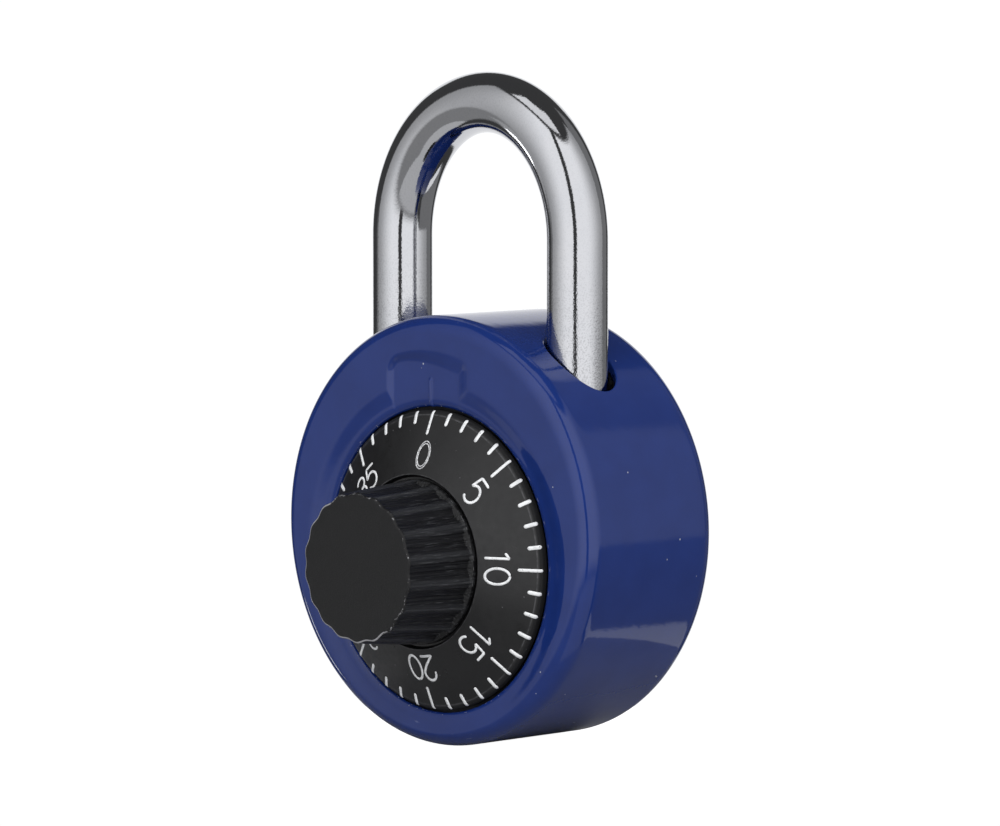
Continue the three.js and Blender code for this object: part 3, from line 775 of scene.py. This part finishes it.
def stroke(skin, line, width, turn):
    """A painted stroke on the dial, round at both ends, along a line of (u, v) points.

    v is the way out from the axis, and u is clockwise from the direction at turn degrees.
    """
    line = np.array(line, float)
    steps = np.linalg.norm(np.diff(line, axis=0), axis=1)
    along = np.concatenate([[0], np.cumsum(steps)])
    ends = width / 2 * (1 - np.cos(np.radians(np.arange(0, 91, 18))))
    middle = np.linspace(ends[-1], along[-1] - ends[-1], max(2, int(along[-1] / STROKE_STEP)))
    stops = np.concatenate([ends[:-1], middle, along[-1] - ends[-2::-1]])
    centre = np.column_stack([np.interp(stops, along, line[:, k]) for k in (0, 1)])
    way = np.gradient(centre, stops, axis=0)
    side = np.column_stack([-way[:, 1], way[:, 0]]) / np.linalg.norm(way, axis=1, keepdims=True)
    near_end = np.clip(np.minimum(stops, along[-1] - stops) * 2 / width, 0, 1)
    half = width / 2 * np.sqrt(np.maximum(1 - (1 - near_end) ** 2, 0.004))
    rows = []
    for place, sideways, reach in zip(centre, side, half):
        corners = []
        for share, lift in STROKE_SECTION:
            u, v = place + sideways * reach * share
            (r, y), (normal_r, normal_y) = dial_surface(v)
            angle = math.radians(turn) + u / v
            r += normal_r * lift
            corners.append((r * math.sin(angle), y + normal_y * lift, DIAL_Z + r * math.cos(angle)))
        rows.append(corners)
    grid = skin.add(rows)
    skin.quads(grid)
    skin.cap_ends(grid)


def bow(u, v, half_width, half_height, start, end):
    """Points on an ellipse, with angles in degrees anticlockwise from the right."""
    count = max(6, int(abs(end - start) / 9))
    angles = np.radians(np.linspace(start, end, count))
    return [(u + half_width * math.cos(a), v + half_height * math.sin(a)) for a in angles]


# The lines of each digit that the dial has, in (u, v) from its middle.
DIGITS = {
    "0": [bow(0, 0, 0.88, 1.36, 96, 456)],
    "1": [
        [(0.12, -1.38), (0.12, 1.4)],
        [(0.12, 1.36), (-0.2, 1.12), (-0.5, 0.92)],
    ],
    "2": [[*bow(0, 0.62, 0.82, 0.76, 195, -28), (0.3, -0.32), (-0.86, -1.38), (0.9, -1.38)]],
    "3": [
        [*bow(-0.02, 0.68, 0.74, 0.7, 160, -75), (-0.1, 0.02)],
        [(-0.1, 0.02), *bow(0, -0.64, 0.86, 0.74, 85, -155)],
    ],
    "5": [[(0.78, 1.38), (-0.62, 1.38), (-0.78, 0.12), *bow(0, -0.42, 0.88, 0.96, 128, -140)]],
}
DIGIT_MIDDLE_R = 11.88
DIGIT_STROKE = 0.31
DIGIT_SPACING = 2.1
NUMBER_SHIFT = {1: 0.1, 2: -0.25}  # how far numbers of one and two digits lie past their ticks
ZERO_RINGS = ((0.88, 0.9), (1.07, 1.09))  # the worn zero's two rings, as shares of the digit's size
ZERO_SHIFT = 0.4
ZERO_STROKE = 0.13
POSITIONS = 40
LONG_TICK_EVERY = 5
TICK_OUTER = 16.83
LONG_TICK = (14.06, 0.38)  # inner end, width
SHORT_TICK = (15.25, 0.47)


def numeral(skin, number, turn):
    """A number with its top outwards."""
    text = str(number)
    for i, digit in enumerate(text):
        place = NUMBER_SHIFT[len(text)] + (i - (len(text) - 1) / 2) * DIGIT_SPACING
        for line in DIGITS[digit]:
            stroke(skin, [(u + place, v + DIGIT_MIDDLE_R) for u, v in line], DIGIT_STROKE, turn)


def dial_marks(material):
    """Ticks that reach over the dial's edge, and a number at every fifth one but the first."""
    skin = Skin()
    for i in range(POSITIONS):
        turn = i * 360 / POSITIONS
        inner, width = SHORT_TICK if i % LONG_TICK_EVERY else LONG_TICK
        stroke(skin, [(0, inner), (0, TICK_OUTER)], width, turn)
        if i and i % LONG_TICK_EVERY == 0:
            numeral(skin, i, turn)
    skin.piece("dial_marks", material, "dial", "dial_black")


def dial_zero(material):
    """The worn zero at the first tick, whose engraving shows as two thin pale rings."""
    skin = Skin()
    for width, height in ZERO_RINGS:
        ring = [(u * width + ZERO_SHIFT, v * height + DIGIT_MIDDLE_R) for u, v in DIGITS["0"][0]]
        stroke(skin, ring, ZERO_STROKE, 0)
    skin.piece("dial_zero", material, "dial", "dial_black")


# ---- Knob ------------------------------------------------------------------------------------

FOOT_SCALLOP = 0.46  # depth of the hollows towards the foot
FRONT_SCALLOP = 0.24
SCALLOP_GROWTH = 4.0  # length over which they get deeper
KNOB_COLUMNS = 1080
KNOB_RIM = 0.45  # the foot stays round for this height
LINE_DEPTH = 0.04
LINE_WAVES = ((7, 1.0, 0), (5, 0.7, 1), (11, 0.5, 0))  # waves to each scallop, height, start
LINE_SINK = 1.6  # keeps nearly all of the lines below the knob's outline


def knob_body(material):
    """Slightly tapered knob with scalloped sides that run out above a round foot."""
    turns = np.linspace(0, 2 * math.pi, KNOB_COLUMNS, endpoint=False)
    hollow = (1 - np.cos(SCALLOPS * turns)) / 2
    lines = sum(high * np.sin(many * SCALLOPS * turns + start) for many, high, start in LINE_WAVES)
    taper = (KNOB_FOOT_R - KNOB_FRONT_R) / (KNOB_BACK - KNOB_FRONT)
    rim = KNOB_BACK - KNOB_RIM
    rows = []

    def ring(radius, y):
        rows.append(np.stack([radius * np.sin(turns), y, DIAL_Z + radius * np.cos(turns)], axis=-1))

    def row(y, inset=0.0):
        """One outline of the knob at y, drawn in by inset."""
        depth = y - KNOB_FRONT
        above_rim = smooth_step((rim - y) / 0.35)
        lined = smooth_step((depth - 0.05) / 0.5) * above_rim
        scallop = FRONT_SCALLOP + (FOOT_SCALLOP - FRONT_SCALLOP) * smooth_step(depth / SCALLOP_GROWTH)
        radius = KNOB_FRONT_R + taper * depth - inset - scallop * hollow * above_rim
        ring(radius + LINE_DEPTH * (lines - LINE_SINK) * lined, np.full_like(turns, y))

    for angle in np.linspace(0, math.pi / 2, 8):
        row(KNOB_FRONT + KNOB_EDGE_R * (1 - math.cos(angle)), KNOB_EDGE_R * (1 - math.sin(angle)))
    for y in np.linspace(KNOB_FRONT + KNOB_EDGE_R + 0.05, rim - 0.4, 14):
        row(y)
    for y in np.linspace(rim - 0.35, rim, 8):
        row(y)
    for y, inset in ((rim + 0.05, 0), (KNOB_BACK - 0.15, 0), (KNOB_BACK - 0.04, 0.03), (KNOB_BACK, 0.08)):
        row(y, inset)
    for y in (KNOB_BACK, KNOB_BORE_END):
        ring(np.full_like(turns, BORE_R), np.full_like(turns, y))
    centre = np.array((0, KNOB_FRONT, DIAL_Z))
    front = [centre + (rows[0] - centre) * share for share in (0.9, 0.985)]
    skin = Skin()
    grid = skin.add(np.array(front + rows))
    skin.quads(grid)
    skin.cap_ends(grid)
    skin.piece("knob_body", material, "dial", "knob_black", "knob")


# ---- Shackle ---------------------------------------------------------------------------------

ROD_SIDES = 72


def shackle_rows():
    """(x, z, direction of travel, radius) along the rod from the heel end to the toe end."""
    low, high = COLLAR_GROOVE
    heel = [
        (HEEL_END, ROD_R - 0.5),
        (HEEL_END + 0.15, ROD_R - 0.2),
        (HEEL_END + 0.5, ROD_R),
        (low - 0.05, ROD_R),
        (low, ROD_R - 0.03),
        (low + 0.02, COLLAR_GROOVE_R),
        (high - 0.02, COLLAR_GROOVE_R),
        (high, ROD_R - 0.03),
        (high + 0.05, ROD_R),
    ]
    heel += [(z, ROD_R) for z in np.linspace(high + 1, ARCH_START, 32)[:-1]]
    rows = [(LEG_X, z, math.pi / 2, radius) for z, radius in heel]
    for angle in np.linspace(0, math.pi, 97):
        way = math.atan2(ARCH_RISE * math.cos(angle), -LEG_X * math.sin(angle))
        rows.append((LEG_X * math.cos(angle), ARCH_START + ARCH_RISE * math.sin(angle), way, ROD_R))
    toe = [(z, ROD_R) for z in np.linspace(ARCH_START, TOE_END + TOE_EDGE_R, 60)[1:]]
    for angle in np.linspace(0, math.pi / 2, 7)[1:]:
        z = TOE_END + TOE_EDGE_R * (1 - math.sin(angle))
        toe.append((z, ROD_R - TOE_EDGE_R * (1 - math.cos(angle))))
    rows += [(-LEG_X, z, -math.pi / 2, radius) for z, radius in toe]
    return rows


def shackle_bar(material):
    """Bent rod with a rounded toe, a locking notch on the toe leg and a groove for the collar."""
    angles = np.linspace(0, 2 * math.pi, ROD_SIDES, endpoint=False)
    points = []
    for x, z, way, radius in shackle_rows():
        outward = radius * np.cos(angles)
        points.append(np.stack([
            x + outward * math.sin(way),
            SHACKLE_Y + radius * np.sin(angles),
            z - outward * math.cos(way),
        ], axis=-1))
    points = np.array(points)
    notch = np.interp(points[..., 2], NOTCH_Z, (0, NOTCH_DEPTH, NOTCH_DEPTH, 0))
    toe = (points[..., 0] < 0) & (points[..., 2] < NOTCH_Z[-1])
    cut = np.minimum(points[..., 0], ROD_R - LEG_X - notch)
    points[..., 0] = np.where(toe, cut, points[..., 0])
    skin = Skin()
    grid = skin.add(points)
    skin.quads(grid)
    skin.cap_ends(grid)
    skin.piece("shackle_bar", material, "shackle", "shackle_chrome", "shackle")


# ---- Stage -----------------------------------------------------------------------------------

CAMERA_AZIMUTH = 44.3057
CAMERA_ELEVATION = 4.4022
CAMERA_DISTANCE = 607.465
CAMERA_AIM = (10.4648, -21.0, 13.7797)
CAMERA_LENS = 199.708


def direction(azimuth, elevation=0.0):
    """The way to a place at these degrees: from -Y round towards +X, and up from level."""
    azimuth = math.radians(azimuth)
    elevation = math.radians(elevation)
    return Vector((
        math.sin(azimuth) * math.cos(elevation),
        -math.cos(azimuth) * math.cos(elevation),
        math.sin(elevation),
    ))


def camera():
    """The camera sees the padlock from its right and slightly above."""
    back = direction(CAMERA_AZIMUTH, CAMERA_ELEVATION)
    right = direction(CAMERA_AZIMUTH + 90)
    up = back.cross(right)
    data = bpy.data.cameras.new("camera")
    data.lens = CAMERA_LENS
    data.sensor_width = 36
    data.clip_start = 0.01
    data.clip_end = 20
    made = placed("camera", data)
    turn = Matrix((right, up, back)).transposed().to_4x4()
    made.matrix_world = Matrix.Translation((Vector(CAMERA_AIM) + CAMERA_DISTANCE * back) * MM) @ turn
    bpy.context.scene.camera = made


# Soft-edged boxes of light in the studio: (low, high, edge) of their heights, the same of their
# turns from CAMERA_AZIMUTH, in degrees, and their brightness.
OVERHEAD = ((63, 79, 2), (-80, 30, 5), 1.0)
UNDER = ((-78, -22, 8), (-32, 50, 8), 0.55)
BELOW = ((-82, -50, 5), (-115, 70, 5), 0.55)
FILL = ((-35, 50, 3), (70, 135, 5), 0.17)
STRIP = ((-43, -35.5, 1), (72, 125, 8), 1.0)
GROUND = ((-60, -6, 8), (-112, -32, 8), 0.24)
GLOW = ((-21, -8, 4), (-119, -106, 4), 0.4)
LAMP = ((-20, -13, 1.5), (-122, -118, 1.5), 6.0)
DARKNESS = 0.06  # brightness where there is no light
BACKDROP = 1.05  # brightness of the background
STUDIO_WHITE = (0.98, 0.985, 1.0, 1)


def studio():
    """White background, and for reflections a tent round the front, with boxes of light beyond it.

    Directions are fixed in the world. Turns are measured from CAMERA_AZIMUTH.
    """
    world = bpy.data.worlds.new("studio")
    bpy.context.scene.world = world
    world.use_nodes = True
    graph = Graph(world.node_tree)
    way = graph.node("TexCoord").outputs["Generated"]

    def along(axis):
        return graph.node("VectorMath", {0: way, 1: axis}, operation="DOT_PRODUCT").outputs["Value"]

    def degrees(angle):
        return graph.math("MULTIPLY", angle, 180 / math.pi)

    def product(*values):
        total = values[0]
        for value in values[1:]:
            total = graph.math("MULTIPLY", total, value)
        return total

    def brightest(*lights):
        total = lights[0]
        for light in lights[1:]:
            total = graph.math("MAXIMUM", total, light)
        return total

    ahead = along(direction(CAMERA_AZIMUTH))
    right = along(direction(CAMERA_AZIMUTH + 90))
    turn = degrees(graph.math("ARCTAN2", right, ahead))
    height = degrees(graph.math("ARCSINE", along((0, 0, 1))))
    away = graph.math("ABSOLUTE", turn)

    def box(heights, turns, brightness):
        return product(graph.band(height, *heights), graph.band(turn, *turns), brightness)

    lower_edge = graph.step(turn, 55, 70, -9, -4.5)
    softness = graph.step(turn, 55, 70, -13, -4)
    tent = product(
        graph.step(away, 35, 106, 1.2, 0.4),
        graph.step(away, 105, 110, 1, 0),
        graph.math("SUBTRACT", 1.0, graph.band(turn, -14, -4, 3)),
        graph.step(graph.math("SUBTRACT", height, lower_edge), softness, 0),
        graph.step(height, 54, 59, 1, 0),
    )
    behind = product(graph.step(away, 152, 158), graph.step(height, 22, 28, 0.95, 0.0))
    faint = graph.math("ADD", brightest(box(*UNDER), box(*BELOW)), box(*FILL))
    boxes = [box(*panel) for panel in (OVERHEAD, STRIP, GROUND, GLOW, LAMP)]
    light = graph.math("ADD", brightest(tent, behind, faint, *boxes), DARKNESS)
    seen = graph.node("LightPath").outputs["Is Camera Ray"]
    strength = graph.node("Mix", {0: seen, 2: light, 3: BACKDROP}, data_type="FLOAT").outputs[0]
    background = world.node_tree.nodes["Background"]
    graph.feed(background.inputs["Color"], STUDIO_WHITE)
    graph.feed(background.inputs["Strength"], strength)


def soft_light(name, azimuth, height, energy):
    """Broad light from a direction in degrees, which lights paint without showing in gloss."""
    data = bpy.data.lights.new(name, "SUN")
    data.energy = energy
    data.angle = math.radians(50)
    made = placed(name, data)
    made.rotation_mode = "QUATERNION"
    made.rotation_quaternion = direction(azimuth, height).to_track_quat("Z", "Y")
    made.visible_glossy = False


FLOOR_R = 31.0
FLOOR_Y = -10.0
FLOOR_TOP = -24.01  # just under the case
FLOOR_COLOURS = ((0.4, 0.4, 0.41, 1), (0.44, 0.44, 0.44, 1))


def floor():
    """A small pale light table that the case stands on, seen as white as the background."""
    paint = Paint("pale_floor", Roughness=0.6, IOR=1.4)
    paint.set("Base Color", paint.mix(paint.noise(0.05, 3), *FLOOR_COLOURS))
    paint.set("Emission Color", (1, 1, 1, 1))
    paint.set("Emission Strength", paint.node("LightPath").outputs["Is Camera Ray"])
    turns = np.linspace(0, 2 * math.pi, 96, endpoint=False)
    rows = []
    for inset, drop in ((0, 0.99), (0, 0.29), (0.3, 0), (1, 0)):
        r = FLOOR_R - inset
        z = np.full_like(turns, FLOOR_TOP - drop)
        rows.append(np.stack([r * np.sin(turns), FLOOR_Y + r * np.cos(turns), z], axis=-1))
    skin = Skin()
    grid = skin.add(np.array(rows))
    skin.quads(grid)
    skin.cap_ends(grid)
    placed("floor", skin.mesh("floor", paint.material))


# ---- Assembly --------------------------------------------------------------------------------

BRASS_NODES = ("spindle_washer", "disc_2", "disc_spacer", "disc_1", "lever_spacer")


def dress_works():
    """Gives each CAD node that no skin stands for its metal. The shield behind the dial is painted near
    black, as painted shade in the gap round the dial.
    """
    steel = brushed("zinc_steel", (0.5, 0.51, 0.52, 1), (0.38, 0.38, 0.4, 1), 0.36)
    brass = brushed("plain_brass", (0.66, 0.48, 0.2, 1), (0.5, 0.34, 0.13, 1), 0.34)
    # Painted shade: the shield is near black so that the gap round the dial looks shaded.
    dark = brushed("painted_shade_steel", (0.03, 0.03, 0.032, 1), (0.02, 0.02, 0.022, 1), 0.5)
    finishes = {"case_shield": dark, **dict.fromkeys(BRASS_NODES, brass)}
    for name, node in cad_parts.items():
        if not node.hide_render:
            node.data.materials.clear()
            node.data.materials.append(finishes.get(name, steel))


bpy.context.scene.view_settings.view_transform = "Standard"
camera()
studio()
soft_light("front_light", CAMERA_AZIMUTH - 8, 38, 1.45)
soft_light("back_light", CAMERA_AZIMUTH + 165, 30, 0.8)
floor()
blue = enamel()
case_shell(blue)
cover_panel(blue)
dial_face(dial_paint())
dial_marks(mark_paint())
dial_zero(worn_mark_paint())
knob_body(knob_plastic())
shackle_bar(chrome())
dress_works()
